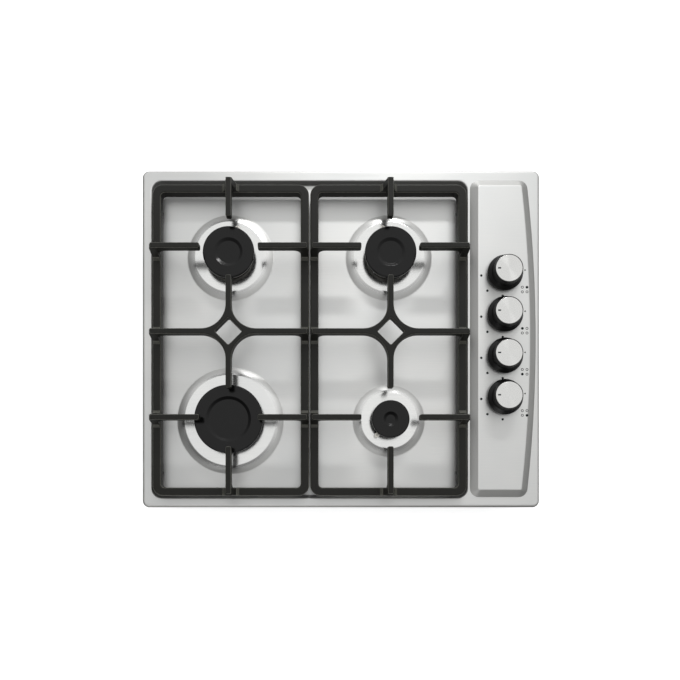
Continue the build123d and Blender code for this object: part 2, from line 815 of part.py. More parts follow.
def knob_disc(y):
    # Metal disc let into the knob's top, with a short pointer groove towards -X.
    with BuildPart() as disc:
        with Locations((knob_x, y, knob_top)):
            Cylinder(disc_r, disc_height, align=(Align.CENTER, Align.CENTER, Align.MAX))
        fillet(disc.edges().filter_by(GeomType.CIRCLE).sort_by(Axis.Z)[-1], disc_round)
        with Locations((knob_x - pointer_r, y, knob_top)):
            Box(pointer_length, pointer_width, 2 * pointer_depth, mode=Mode.SUBTRACT)
    return disc.part


def tap_spindle(y):
    shaft = Plane.XY.offset(spindle_z) * Pos(knob_x, y) * d_section(0)
    with BuildPart() as spindle:
        extrude(shaft, amount=spindle_top - spindle_z)
    return spindle.part


def tap_plug(y):
    socket = Plane.XY.offset(spring_z) * Pos(knob_x, y) * d_section(fit_gap)
    with BuildPart() as plug:
        with Locations((knob_x, y, plug_z)):
            Cylinder(plug_r, plug_length, align=(Align.CENTER, Align.CENTER, Align.MIN))
            Cylinder(plug_passage_r, 2 * plug_passage_rise, mode=Mode.SUBTRACT)
        with Locations(Location((knob_x, y, outlet_z), (0, 90, 0))):
            Cylinder(plug_passage_r, 2 * plug_r, align=(Align.CENTER, Align.CENTER, Align.MIN),
                     mode=Mode.SUBTRACT)
        extrude(socket, amount=socket_length, mode=Mode.SUBTRACT)
    return plug.part


def tap_spring(y):
    # Return spring, as the sleeve that its turns fill.
    with BuildPart() as spring:
        with BuildSketch(Plane.XY.offset(spring_z)):
            with Locations((knob_x, y)):
                Circle(spindle_flat - fit_gap)
                Circle(spindle_flat - fit_gap - spring_wall, mode=Mode.SUBTRACT)
        extrude(amount=spring_length)
    return spring.part


for name, y in knob_y.items():
    save(control_knob(y), f"control_knob_{name}")
    save(knob_disc(y), f"knob_disc_{name}")
    save(tap_spindle(y), f"tap_spindle_{name}")
    save(tap_plug(y), f"tap_plug_{name}")
    save(tap_spring(y), f"tap_spring_{name}")

with BuildPart() as spindle_grommets:
    for y in knob_y.values():
        with Locations((knob_x, y, panel_z)):
            Cylinder(grommet_r, grommet_height, align=(Align.CENTER, Align.CENTER, Align.MIN))
            Cylinder(spindle_r + 2 * fit_gap, 3 * grommet_height, mode=Mode.SUBTRACT)
save(spindle_grommets.part, "spindle_grommets")


# ---------------------------------------------------------------- gas taps and pipework
with BuildPart() as tap_bodies:
    for y in knob_y.values():
        with Locations((knob_x, y, rail_z)):
            Box(tap_side, tap_side, bonnet_z - rail_z,
                align=(Align.CENTER, Align.CENTER, Align.MIN))
        with Locations(Location((knob_x - tap_side / 2, y, outlet_z), (0, -90, 0))):
            Cylinder(outlet_r, outlet_length, align=(Align.CENTER, Align.CENTER, Align.MIN))
            Cylinder(plug_passage_r, tap_side, mode=Mode.SUBTRACT)
        with Locations(Location((knob_x - tap_side / 2 - outlet_length, y, outlet_z),
                                (0, 90, 0))):
            Cylinder(tube_r + fit_gap, tube_seat,
                     align=(Align.CENTER, Align.CENTER, Align.MIN), mode=Mode.SUBTRACT)
        with Locations((knob_x, y, plug_z - fit_gap)):
            Cylinder(plug_r + fit_gap, bonnet_z - plug_z + fit_gap,
                     align=(Align.CENTER, Align.CENTER, Align.MIN), mode=Mode.SUBTRACT)
        with Locations((knob_x, y, rail_z)):
            Cylinder(plug_passage_r, 2 * (plug_z - rail_z), mode=Mode.SUBTRACT)
        with Locations(Location((knob_x, y, rail_z), (90, 0, 0))):
            Cylinder(rail_r + fit_gap, 2 * tap_side, mode=Mode.SUBTRACT)
save(tap_bodies.part, "tap_bodies")

# Bonnets close the taps and carry them from the panel
with BuildPart() as tap_bonnets:
    for y in knob_y.values():
        with Locations((knob_x, y, bonnet_z)):
            Box(bonnet_length, tap_side, bonnet_height,
                align=(Align.CENTER, Align.CENTER, Align.MIN))
            Cylinder(spindle_r + 2 * fit_gap, 3 * bonnet_height, mode=Mode.SUBTRACT)
    with Locations(*[(x, y, tap_top) for x, y in tap_screws]):
        Cylinder(screw_r + screw_gap, bonnet_height, mode=Mode.SUBTRACT)
save(tap_bonnets.part, "tap_bonnets")

# Gas rail: pipe under the taps, union against the tray wall, threaded inlet behind it
rail_front = min(knob_y.values()) - rail_overrun
with BuildPart() as gas_rail:
    with BuildSketch(Plane(origin=(knob_x, rail_front, rail_z), x_dir=(1, 0, 0),
                           z_dir=(0, 1, 0))):
        Circle(rail_r)
    extrude(amount=tray_wall_y - rail_front)
    with BuildSketch(Plane(origin=(knob_x, tray_wall_y, rail_z), x_dir=(1, 0, 0),
                           z_dir=(0, 1, 0))):
        RegularPolygon(union_across / 2, 6, major_radius=False)
    extrude(amount=union_length)
    with BuildSketch(Plane(origin=(knob_x, tray_wall_y + union_length, rail_z),
                           x_dir=(1, 0, 0), z_dir=(0, 1, 0))):
        Circle(inlet_r)
    extrude(amount=inlet_length)
    chamfer(gas_rail.faces().sort_by(Axis.Y)[-1].edges(), inlet_chamfer)
    with Locations(Location((knob_x, rail_front + rail_wall, rail_z), (-90, 0, 0))):
        Cylinder(rail_r - rail_wall, plate_depth,
                 align=(Align.CENTER, Align.CENTER, Align.MIN), mode=Mode.SUBTRACT)
    with Locations(*[(knob_x, y, rail_z) for y in knob_y.values()]):
        Cylinder(plug_passage_r, 2 * rail_r, align=(Align.CENTER, Align.CENTER, Align.MIN),
                 mode=Mode.SUBTRACT)
save(gas_rail.part, "gas_rail")


def gas_tube(y, b):
    start_x = knob_x - tap_side / 2 - outlet_length + tube_inserted
    end_x = b["x"] + b["bowl_r"] + arm_reach - tube_inserted
    turn_x = end_x + tube_inserted + tube_straight
    with BuildPart() as tube:
        with BuildLine():
            FilletPolyline((start_x, y, outlet_z), (turn_x + tube_slant, y, outlet_z),
                           (turn_x, b["y"], outlet_z), (end_x, b["y"], outlet_z),
                           radius=tube_bend_r)
        with BuildSketch(Plane(origin=(start_x, y, outlet_z), z_dir=(-1, 0, 0))):
            Circle(tube_r)
            Circle(tube_r - tube_wall, mode=Mode.SUBTRACT)
        sweep()
    return tube.part


tubes = [gas_tube(y, burners[name]) for name, y in knob_y.items()]
with BuildPart() as gas_tubes:
    for tube in tubes:
        add(tube)
save(gas_tubes.part, "gas_tubes")


# ---------------------------------------------------------------- base tray
# A floor sheet with four walls welded on it, each folded out into a flange at its top
with BuildPart() as base_tray:
    Box(2 * tray_wall_x, 2 * tray_wall_y, tray_sheet,
        align=(Align.CENTER, Align.CENTER, Align.MIN))
save(base_tray.part, "base_tray")


def wall_strip(outward, wall_at, half_length):
    across = Plane(origin=outward * wall_at, x_dir=outward, z_dir=(outward.Y, -outward.X, 0))
    with BuildPart() as strip:
        with BuildSketch(across) as section:
            with BuildLine():
                Polyline((-tray_sheet, tray_sheet), (0, tray_sheet),
                         (0, flange_top - tray_sheet), (tray_flange, flange_top - tray_sheet),
                         (tray_flange, flange_top), (-tray_sheet, flange_top), close=True)
            make_face()
            bend = section.vertices().filter_by(lambda v: v.Y > flange_top / 2)
            fillet(bend.filter_by(lambda v: abs(v.X) < fit_gap), tray_bend_r)
            bend = section.vertices().filter_by(lambda v: v.Y > flange_top - fit_gap)
            fillet(bend.sort_by(Axis.X)[0], tray_bend_r + tray_sheet)
        extrude(amount=half_length, both=True)
        with Locations(*[(x, y, flange_top) for x, y in bosses_low + bosses_high]):
            Cylinder(screw_r + screw_gap, 3 * tray_sheet, mode=Mode.SUBTRACT)
    return strip.part


with BuildPart() as tray_sides:
    for side in (-1, 1):
        add(wall_strip(Vector(side, 0, 0), tray_wall_x, tray_wall_y - tray_sheet))
save(tray_sides.part, "tray_sides")

with BuildPart() as tray_ends:
    for side in (-1, 1):
        add(wall_strip(Vector(0, side, 0), tray_wall_y, tray_wall_x))
    with Locations(Location((knob_x, tray_wall_y, rail_z), (90, 0, 0))):
        Cylinder(rail_r + loose_gap, 4 * tray_sheet, mode=Mode.SUBTRACT)
    with Locations(Location((gland_x, tray_wall_y, rail_z), (90, 0, 0))):
        Cylinder(gland_neck_r + loose_gap, 4 * tray_sheet, mode=Mode.SUBTRACT)
save(tray_ends.part, "tray_ends")

# Angle brackets welded to the end walls, one over each clamp
with BuildPart() as clamp_brackets:
    for x, y in clamps.values():
        side = 1 if y > 0 else -1
        with Locations((x, side * (tray_wall_y + ear_reach / 2), ear_z)):
            Box(ear_width, ear_reach, ear_sheet,
                align=(Align.CENTER, Align.CENTER, Align.MIN))
        with Locations((x, side * (tray_wall_y + ear_sheet / 2), ear_z)):
            Box(ear_width, ear_sheet, ear_foot,
                align=(Align.CENTER, Align.CENTER, Align.MIN))
        with Locations((x, y, ear_z)):
            Cylinder(clamp_screw_r + screw_gap, 3 * ear_sheet, mode=Mode.SUBTRACT)
save(clamp_brackets.part, "clamp_brackets")


def fixing_clamp(x, y):
    # Strip that turns on its screw, its free end turned up to bite under the worktop.
    inward = -1 if x > 0 else 1
    reach = clamp_length - clamp_width / 2
    low = ear_z - clamp_gap - clamp_sheet
    with BuildPart() as clamp:
        with BuildSketch(Plane.XY.offset(low)):
            with Locations((x, y)):
                Circle(clamp_width / 2)
            with Locations((x + inward * reach / 2, y)):
                Rectangle(reach, clamp_width)
            with Locations((x, y)):
                Circle(clamp_screw_r + screw_gap, mode=Mode.SUBTRACT)
        extrude(amount=clamp_sheet)
        with Locations((x + inward * (reach - clamp_sheet / 2), y, low)):
            Box(clamp_sheet, clamp_width, clamp_sheet + clamp_lip,
                align=(Align.CENTER, Align.CENTER, Align.MIN))
    return clamp.part


for name, (x, y) in clamps.items():
    save(fixing_clamp(x, y), f"fixing_clamp_{name}")


# ---------------------------------------------------------------- screws
clamp_head_top = ear_z - 2 * clamp_gap - clamp_sheet
with BuildPart() as fixing_screws:
    for x, y in clamps.values():
        with Locations((x, y, clamp_head_top)):
            Cylinder(clamp_head_r, clamp_head_height,
                     align=(Align.CENTER, Align.CENTER, Align.MAX))
            Cylinder(clamp_screw_r, clamp_screw_length,
                     align=(Align.CENTER, Align.CENTER, Align.MIN))
    for x, y in bosses_low + bosses_high:
        with Locations((x, y, flange_top - tray_sheet)):
            Cylinder(head_r, head_height, align=(Align.CENTER, Align.CENTER, Align.MAX))
            Cylinder(screw_r, tray_sheet + tray_drop,
                     align=(Align.CENTER, Align.CENTER, Align.MIN))
save(fixing_screws.part, "fixing_screws")

with BuildPart() as burner_screws:
    with Locations(*[(x, y, well_z) for x, y in cup_screws]):
        Cylinder(head_r, head_height, align=(Align.CENTER, Align.CENTER, Align.MIN))
        Cylinder(screw_r, sheet + cup_flange_height,
                 align=(Align.CENTER, Align.CENTER, Align.MAX))
    with Locations(*[(x, y, panel_z) for x, y in tap_screws]):
        Cylinder(head_r, head_height, align=(Align.CENTER, Align.CENTER, Align.MIN))
        Cylinder(screw_r, sheet + bonnet_height / 2,
                 align=(Align.CENTER, Align.CENTER, Align.MAX))
save(burner_screws.part, "burner_screws")


# ---------------------------------------------------------------- ignition and mains
with BuildPart() as ignition_module:
    with Locations((field_x, burner_mid_y, tray_sheet)):
        Box(module_length, module_depth, module_height,
            align=(Align.CENTER, Align.CENTER, Align.MIN))
    fillet(ignition_module.edges().filter_by(Axis.Z), module_round)
save(ignition_module.part, "ignition_module")


def spark_lead(b):
    # Lead from the electrode's foot down to the tray floor and across to the module.
    on_left = b["x"] < field_x
    port_x = module_left if on_left else module_right
    run_in = -lead_run_in if on_left else lead_run_in
    port_y = burner_mid_y + (lead_port_y if b["y"] > burner_mid_y else -lead_port_y)
    low = tray_sheet + lead_gap + lead_r
    with BuildPart() as lead:
        with BuildLine():
            FilletPolyline((b["spark_x"], b["spark_y"], pin_z),
                           (b["spark_x"], b["spark_y"], low), (port_x + run_in, port_y, low),
                           (port_x, port_y, low), radius=lead_bend_r)
        with BuildSketch(Plane(origin=(b["spark_x"], b["spark_y"], pin_z), z_dir=(0, 0, -1))):
            Circle(lead_r)
        sweep()
    return lead.part


lead_parts = [spark_lead(b) for b in burners.values()]
with BuildPart() as spark_leads:
    for lead in lead_parts:
        add(lead)
save(spark_leads.part, "spark_leads")

# Micro-switches on the taps, joined by one strip
switch_x = knob_x + tap_side / 2
switch_z = bonnet_z - switch_drop
with BuildPart() as switch_strip:
    for y in knob_y.values():
        with Locations((switch_x, y, switch_z)):
            Box(switch_depth, switch_length, switch_height,
                align=(Align.MIN, Align.CENTER, Align.MIN))
    with Locations((switch_x + switch_depth, knob_mid_y, switch_z)):
        Box(strip_sheet, 3 * knob_pitch + 2 * strip_overrun, switch_height,
            align=(Align.MIN, Align.CENTER, Align.MIN))
save(switch_strip.part, "switch_strip")

# Mains inlet: gland in the tray's rear wall with its terminal block inside
with BuildPart() as mains_inlet:
    wall_in = tray_wall_y - tray_sheet
    with Locations(Location((gland_x, tray_wall_y, rail_z), (-90, 0, 0))):
        Cylinder(gland_r, gland_reach, align=(Align.CENTER, Align.CENTER, Align.MIN))
    with Locations(Location((gland_x, wall_in, rail_z), (-90, 0, 0))):
        Cylinder(gland_neck_r, gland_reach, align=(Align.CENTER, Align.CENTER, Align.MIN))
    with Locations((gland_x, wall_in, rail_z)):
        Box(block_length, block_depth, block_height,
            align=(Align.CENTER, Align.MAX, Align.CENTER))
    fillet(mains_inlet.edges().filter_by(Axis.Z), block_round)
    with Locations(Location((gland_x, wall_in - block_depth / 2, rail_z), (-90, 0, 0))):
        Cylinder(gland_bore_r, block_depth + gland_reach,
                 align=(Align.CENTER, Align.CENTER, Align.MIN), mode=Mode.SUBTRACT)
save(mains_inlet.part, "mains_inlet")
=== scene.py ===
import math

import bmesh
import bpy
from mathutils import Matrix, Vector


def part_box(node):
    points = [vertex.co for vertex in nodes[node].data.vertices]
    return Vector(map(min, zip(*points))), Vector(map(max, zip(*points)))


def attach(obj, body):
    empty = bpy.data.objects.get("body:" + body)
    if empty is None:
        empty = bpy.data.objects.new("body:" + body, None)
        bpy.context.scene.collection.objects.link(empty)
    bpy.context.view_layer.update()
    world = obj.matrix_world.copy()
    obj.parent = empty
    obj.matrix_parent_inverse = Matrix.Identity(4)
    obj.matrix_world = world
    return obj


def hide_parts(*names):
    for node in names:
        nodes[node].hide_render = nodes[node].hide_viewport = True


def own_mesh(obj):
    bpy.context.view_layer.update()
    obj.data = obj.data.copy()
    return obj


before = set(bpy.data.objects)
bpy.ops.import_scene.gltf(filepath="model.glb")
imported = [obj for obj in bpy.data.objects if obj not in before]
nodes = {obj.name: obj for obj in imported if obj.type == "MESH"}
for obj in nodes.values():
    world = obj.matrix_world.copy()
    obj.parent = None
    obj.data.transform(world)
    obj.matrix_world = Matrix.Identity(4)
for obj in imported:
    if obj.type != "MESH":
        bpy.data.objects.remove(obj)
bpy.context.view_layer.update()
scene = bpy.context.scene
mm = 0.001
corners = ["rear_left", "rear_right", "front_left", "front_right"]
print("frame loaded")


def linear(hexColour):
    # sRGB hex to the linear colour that a socket takes
    parts = [int(hexColour[i:i + 2], 16) / 255 for i in (1, 3, 5)]
    return [c / 12.92 if c <= 0.04045 else ((c + 0.055) / 1.055) ** 2.4 for c in parts] + [1.0]


def addNode(tree, kind, settings=None, values=None, links=None):
    node = tree.nodes.new(kind)
    for key, value in (settings or {}).items():
        setattr(node, key, value)
    for socket, value in (values or {}).items():
        node.inputs[socket].default_value = value
    for socket, source in (links or {}).items():
        tree.links.new(source, node.inputs[socket])
    return node


def addMath(tree, operation, *terms):
    # Each term is a number or another node's output
    node = addNode(tree, "ShaderNodeMath", {"operation": operation})
    for i, term in enumerate(terms):
        if isinstance(term, bpy.types.NodeSocket):
            tree.links.new(term, node.inputs[i])
        else:
            node.inputs[i].default_value = term
    return node.outputs[0]


def addNoise(tree, place, sizeMm, detail, roughness=0.5):
    return addNode(tree, "ShaderNodeTexNoise",
                   values={"Scale": 1 / (sizeMm * mm), "Detail": detail, "Roughness": roughness},
                   links={"Vector": place}).outputs["Fac"]


def addRamp(tree, source, stops):
    # Each stop is a position and a shade, as hex or as an amount of white
    made = addNode(tree, "ShaderNodeValToRGB", links={"Fac": source})
    ramp = made.color_ramp
    while len(ramp.elements) < len(stops):
        ramp.elements.new(1.0)
    for stop, (position, shade) in zip(ramp.elements, stops):
        stop.position = position
        stop.color = linear(shade) if isinstance(shade, str) else (shade, shade, shade, 1)
    return made.outputs["Color"]


# nearly all of a noise lies between these, and nearly all of the mean of two
noiseSpan = (0.3, 0.7)
meanSpan = (0.35, 0.65)


def addRange(tree, source, target, span=noiseSpan):
    return addNode(tree, "ShaderNodeMapRange",
                   values={"From Min": span[0], "From Max": span[1],
                           "To Min": target[0], "To Max": target[1]},
                   links={"Value": source}).outputs["Result"]


def addRelief(tree, reliefMm, links):
    return addNode(tree, "ShaderNodeBump", values={"Distance": reliefMm * mm},
                   links=links).outputs["Normal"]


def objectPlace(tree):
    return addNode(tree, "ShaderNodeTexCoord").outputs["Object"]


def upwardPart(tree, normal):
    facing = addNode(tree, "ShaderNodeNewGeometry").outputs[normal]
    return addNode(tree, "ShaderNodeSeparateXYZ", links={"Vector": facing}).outputs["Z"]


def flattened(tree, place):
    return addNode(tree, "ShaderNodeVectorMath", {"operation": "MULTIPLY"}, {1: (1, 1, 0)},
                   {0: place}).outputs[0]


def startMaterial(name, surface):
    # surface holds the sockets that are the same all over
    made = bpy.data.materials.new(name)
    made.use_nodes = True
    tree = made.node_tree
    tree.nodes.clear()
    shader = addNode(tree, "ShaderNodeBsdfPrincipled", values=surface)
    addNode(tree, "ShaderNodeOutputMaterial", links={"Surface": shader.outputs[0]})
    return made, tree, shader


def linkShader(tree, shader, links):
    for socket, source in links.items():
        tree.links.new(source, shader.inputs[socket])


def grainedFinish(name, look):
    # A surface whose colour, gloss and relief all follow one fine grain plus slow blotches
    made, tree, shader = startMaterial(name, {
        "Metallic": look.get("metallic", 0.0),
        "Specular IOR Level": look.get("shine", 0.5),
        "Coat Weight": look.get("coat", 0.0),
        "Coat Roughness": look.get("coatRoughness", 0.1),
    })
    place = objectPlace(tree)
    grain = addNoise(tree, place, look["grainMm"], detail=3.0, roughness=0.6)
    blotch = addNoise(tree, place, look["blotchMm"], detail=2.0)
    both = addMath(tree, "MULTIPLY_ADD", grain, 0.5, addMath(tree, "MULTIPLY", blotch, 0.5))
    shades = list(zip(meanSpan, (look["dark"], look["light"])))
    linkShader(tree, shader, {
        "Base Color": addRamp(tree, both, shades),
        "Roughness": addRange(tree, both, look["roughness"]),
        "Normal": addRelief(tree, look["reliefMm"], {"Height": grain}),
    })
    return made


# Hob plate: 304 stainless sheet, satin brushed along its length, the wells polished. Long
# faint streaks, a broad stretched highlight and brighter rings round the burners.
plateLook = {
    "bright": "#DCDCDA",
    "dull": "#D3D4D3",
    "mottle": (0.15, 0.40),    # where streaks times blotches are dull, and where bright
    # upward part of the normal and the painted shade there, which stands in for the dark
    # reflections along the edges: the rim's upright side, its turn, painted darkest, the slopes,
    # and nearly flat sheet
    "paintedBendShade": [(0.0, "#ACACAA"), (0.5, "#5E5E5C"), (0.84, "#A2A2A0"), (0.97, "#D6D6D4")],
    "roughness": (0.50, 0.60),
    "wellRoughness": 0.2,
    "wellRadiiMm": {"rear_left": 52.5, "rear_right": 52.5, "front_left": 68.0, "front_right": 42.5},
    "wellFadeMm": (1.0, 12.0),    # the polish fades from just inside the radius to well outside
    "wellRelief": 0.12,        # share of the streaks' relief that is left in the wells
    "streakLengthMm": 60.0,
    "streakWidthMm": 0.8,      # real lines are 0.1 mm apart, too fine to show
    "blotchMm": 1000 / 9,
    "reliefMm": 0.004,
    "anisotropy": 0.55,
}
burnerPlaces = {name: (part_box("burner_cap_" + name)[0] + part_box("burner_cap_" + name)[1]) / 2
                for name in corners}


def polishedWells(tree, place, look):
    # 1 in the wells, 0 on the brushed sheet
    flat = flattened(tree, place)
    inner, outer = look["wellFadeMm"]
    polished = None
    for name in corners:
        centre, radius = burnerPlaces[name], look["wellRadiiMm"][name]
        reach = addNode(tree, "ShaderNodeVectorMath", {"operation": "DISTANCE"},
                        {1: (centre.x, centre.y, 0)}, {0: flat}).outputs["Value"]
        well = addNode(tree, "ShaderNodeMapRange", {"interpolation_type": "SMOOTHSTEP"},
                       {"From Min": (radius + outer) * mm, "From Max": (radius - inner) * mm},
                       {"Value": reach}).outputs["Result"]
        polished = well if polished is None else addMath(tree, "MAXIMUM", polished, well)
    return polished


def plateSteel(look):
    made, tree, shader = startMaterial("satin_brushed_stainless", {
        "Metallic": 1.0, "Anisotropic": look["anisotropy"]})
    place = objectPlace(tree)
    polished = polishedWells(tree, place, look)
    across = 1 / (look["streakWidthMm"] * mm)
    drawn = addNode(tree, "ShaderNodeMapping",
                    values={"Scale": (1 / (look["streakLengthMm"] * mm), across, across)},
                    links={"Vector": place})
    streak = addNode(tree, "ShaderNodeTexNoise",
                     values={"Scale": 1.0, "Detail": 4.0, "Roughness": 0.65},
                     links={"Vector": drawn.outputs["Vector"]}).outputs["Fac"]
    gloss = addNode(tree, "ShaderNodeMix", {"data_type": "FLOAT"}, {3: look["wellRoughness"]},
                    {0: polished, 2: addRange(tree, streak, look["roughness"])})
    blotch = addNoise(tree, place, look["blotchMm"], detail=2.0)
    mottle = addMath(tree, "MULTIPLY", streak, blotch)
    colour = addRamp(tree, mottle, list(zip(look["mottle"], (look["dull"], look["bright"]))))

    # painted shade: outside the wells the bends are darkened by their tilt, darkest on the rim's
    # turn
    upward = upwardPart(tree, "True Normal")
    onBend = addMath(tree, "LESS_THAN", upward, look["paintedBendShade"][-1][0])
    paintedShadeShare = addMath(tree, "MULTIPLY", onBend, addMath(tree, "SUBTRACT", 1.0, polished))
    shaded = addNode(tree, "ShaderNodeMix", {"data_type": "RGBA"},
                     links={0: paintedShadeShare, 6: colour, 7: addRamp(tree, upward, look["paintedBendShade"])})

    calm = addRange(tree, polished, (1.0, look["wellRelief"]), (0.0, 1.0))
    # brushed along X, so light scatters along Y
    crosswise = addNode(tree, "ShaderNodeCombineXYZ", values={"Y": 1.0})
    linkShader(tree, shader, {
        "Base Color": shaded.outputs[2],
        "Roughness": gloss.outputs[0],
        "Normal": addRelief(tree, look["reliefMm"], {"Height": streak, "Strength": calm}),
        "Tangent": crosswise.outputs[0],
    })
    return made


# Pan supports: sand-cast iron under matt black enamel. Fine pebbled skin, no clear reflections, and
# a painted highlight: rounded edges are painted lighter where they would catch thin lines of light.
ironLook = {
    "dark": "#12120F",
    "light": "#1D1D19",
    "edgeHighlight": "#8A8A80",
    "edgeHighlightShare": 0.75,
    # upward part of the normal on a rounded edge: where the painted highlight starts, is full and
    # ends
    "edgeHighlightTilt": [(0.40, 0.0), (0.56, 1.0), (0.76, 1.0), (0.85, 0.0)],
    "roughness": (0.42, 0.56),
    "shine": 0.24,             # low: pits in the skin swallow most of the reflection
    "pebbleMm": 1.6,           # real grit is 0.5 mm, drawn coarser so that it shows
    "reliefMm": 0.10,
}


def castIron(look):
    made, tree, shader = startMaterial("matt_enamelled_cast_iron", {
        "Metallic": 0.0, "Specular IOR Level": look["shine"]})
    pebble = addNoise(tree, objectPlace(tree), look["pebbleMm"], detail=4.0, roughness=0.7)
    colour = addRamp(tree, pebble, list(zip(noiseSpan, (look["dark"], look["light"]))))
    # painted highlight: rounded edges are painted a lighter grey by their tilt
    edge = addRamp(tree, upwardPart(tree, "Normal"), look["edgeHighlightTilt"])
    paintedHighlightShare = addMath(tree, "MULTIPLY", edge, addMath(tree, "MULTIPLY", pebble, look["edgeHighlightShare"]))
    mixed = addNode(tree, "ShaderNodeMix", {"data_type": "RGBA"}, {7: linear(look["edgeHighlight"])},
                    {0: paintedHighlightShare, 6: colour})
    linkShader(tree, shader, {
        "Base Color": mixed.outputs[2],
        "Roughness": addRange(tree, pebble, look["roughness"]),
        "Normal": addRelief(tree, look["reliefMm"], {"Height": pebble}),
    })
    return made


# Knob discs: aluminium turned in a lathe. Rings too fine to count spread each light into
# a pair of bright wedges.
discLook = {
    "metal": "#CECECC",
    "ink": "#20282B",
    "roughness": (0.18, 0.30),
    "anisotropy": 0.92,
    "ringMm": 0.7,
    "reliefMm": 0.004,
    "inkDepthMm": 0.2,
    "rimMm": 2.5,
}


def spunDisc(name, look, low, high):
    made, tree, shader = startMaterial("spun_aluminium_" + name, {
        "Anisotropic": look["anisotropy"]})
    centre = (low + high) / 2
    own = addNode(tree, "ShaderNodeMapping", values={"Location": (-centre.x, -centre.y, -high.z)},
                  links={"Vector": objectPlace(tree)}).outputs["Vector"]
    flat = flattened(tree, own)
    reach = addNode(tree, "ShaderNodeVectorMath", {"operation": "LENGTH"},
                    links={0: flat}).outputs["Value"]
    rings = addNode(tree, "ShaderNodeTexNoise", {"noise_dimensions": "1D"},
                    {"Scale": 1 / (look["ringMm"] * mm), "Detail": 3.0},
                    {"W": reach}).outputs["Fac"]
    # the lathe's cut runs round the centre, so light scatters along the way out
    unit = addNode(tree, "ShaderNodeVectorMath", {"operation": "NORMALIZE"}, links={0: flat})
    # paint fills the floor of the pointer groove, inside the bevelled rim
    height = addNode(tree, "ShaderNodeSeparateXYZ", links={"Vector": own}).outputs["Z"]
    sunk = addMath(tree, "LESS_THAN", height, -look["inkDepthMm"] * mm)
    inside = addMath(tree, "LESS_THAN", reach, (high.x - low.x) / 2 - look["rimMm"] * mm)
    painted = addMath(tree, "MULTIPLY", sunk, inside)
    colour = addNode(tree, "ShaderNodeMix", {"data_type": "RGBA"},
                     {6: linear(look["metal"]), 7: linear(look["ink"])}, {0: painted})
    linkShader(tree, shader, {
        "Base Color": colour.outputs[2],
        "Metallic": addMath(tree, "SUBTRACT", 1.0, painted),
        "Roughness": addRange(tree, rings, look["roughness"]),
        "Normal": addRelief(tree, look["reliefMm"], {"Height": rings}),
        "Tangent": unit.outputs[0],
    })
    return made


# Base tray: hot-dip galvanised sheet, with the crystal patches of the zinc
trayLook = {
    "dark": "#A0A4A6",
    "light": "#B4B8BA",
    "spangleMm": 7.0,
    "roughness": (0.38, 0.5),
    "reliefMm": 0.01,
}


def galvanised(look):
    made, tree, shader = startMaterial("galvanised_sheet", {"Metallic": 1.0})
    spangle = addNode(tree, "ShaderNodeTexVoronoi", values={"Scale": 1 / (look["spangleMm"] * mm)},
                      links={"Vector": objectPlace(tree)})
    tone = addNode(tree, "ShaderNodeSeparateColor", links={"Color": spangle.outputs["Color"]})
    linkShader(tree, shader, {
        "Base Color": addRamp(tree, tone.outputs[0], [(0.0, look["dark"]), (1.0, look["light"])]),
        "Roughness": addRange(tree, tone.outputs[1], look["roughness"], (0.0, 1.0)),
        "Normal": addRelief(tree, look["reliefMm"], {"Height": tone.outputs[0]}),
    })
    return made


